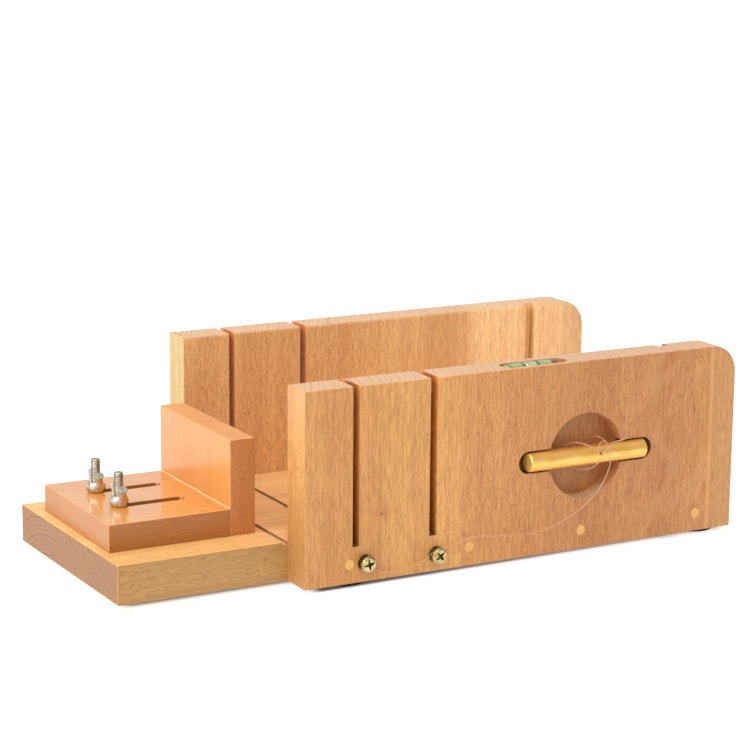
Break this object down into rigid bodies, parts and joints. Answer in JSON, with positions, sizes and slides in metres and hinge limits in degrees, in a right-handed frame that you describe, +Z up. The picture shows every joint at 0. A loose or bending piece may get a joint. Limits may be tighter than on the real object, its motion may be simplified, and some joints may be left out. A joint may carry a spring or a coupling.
{
  "type": "soap cutter",
  "caption": "Wooden channel soap cutter with an adjustable stop on a slotted plate and a wire drawn up through kerfs by a brass pull rod.",
  "frame": {"origin": "middle of the footprint at the level the feet stand on", "axes": "+X along the channel from the stop to the rounded end, +Y from the front wall with the rod to the rear wall, +Z up"},
  "size_m": [0.3505, 0.1713, 0.1036],
  "materials": {
    "base_wood": "satin beech, grain along the board",
    "wall_wood": "satin beech, upright grain",
    "stop_wood": "semi-gloss beech",
    "dowel_wood": "pale end grain",
    "black_rubber": "matte",
    "nickel_steel": "nickel plated",
    "yellow_zinc": "yellow passivated zinc",
    "clear_acrylic": "clear",
    "green_liquid": "yellow-green liquid",
    "plug_plastic": "translucent yellow-green",
    "clear_wire": "translucent line",
    "rod_brass": "satin turned"
  },
  "bodies": {
    "root": {"base_board": "base_wood", "front_wall": "wall_wood", "rear_wall": "wall_wood", "front_wall_dowels": "dowel_wood", "rear_wall_dowels": "dowel_wood", "rubber_feet": "black_rubber", "clamp_bolts": "nickel_steel", "clamp_bolt_washers": "nickel_steel", "wire_screws": "yellow_zinc", "wire_screw_washers": "yellow_zinc", "level_tube": "clear_acrylic", "level_liquid": "green_liquid", "level_end_plug": "plug_plastic", "cutting_wire": "clear_wire"},
    "stop": {"stop_plate": "stop_wood", "stop_upright": "stop_wood", "stop_dowels": "dowel_wood"},
    "near_nut": {"near_wing_nut": "nickel_steel"},
    "far_nut": {"far_wing_nut": "nickel_steel"},
    "handle": {"handle_rod": "rod_brass"}
  },
  "joints": [
    {"name": "stop_slide", "type": "slide", "parent": "root", "child": "stop", "axis": [-1, 0, 0], "range_m": [0, 0.0325]},
    {"name": "near_nut_turn", "type": "hinge", "parent": "root", "child": "near_nut", "pos_m": [-0.1507, -0.0076, 0.0369], "axis": [0, 0, 1], "continuous": true},
    {"name": "far_nut_turn", "type": "hinge", "parent": "root", "child": "far_nut", "pos_m": [-0.1507, 0.0227, 0.0369], "axis": [0, 0, 1], "continuous": true},
    {"name": "handle_pull", "type": "slide", "parent": "root", "child": "handle", "axis": [0, -1, 0], "range_m": [0, 0.03], "deforming": ["cutting_wire"]}
  ]
}
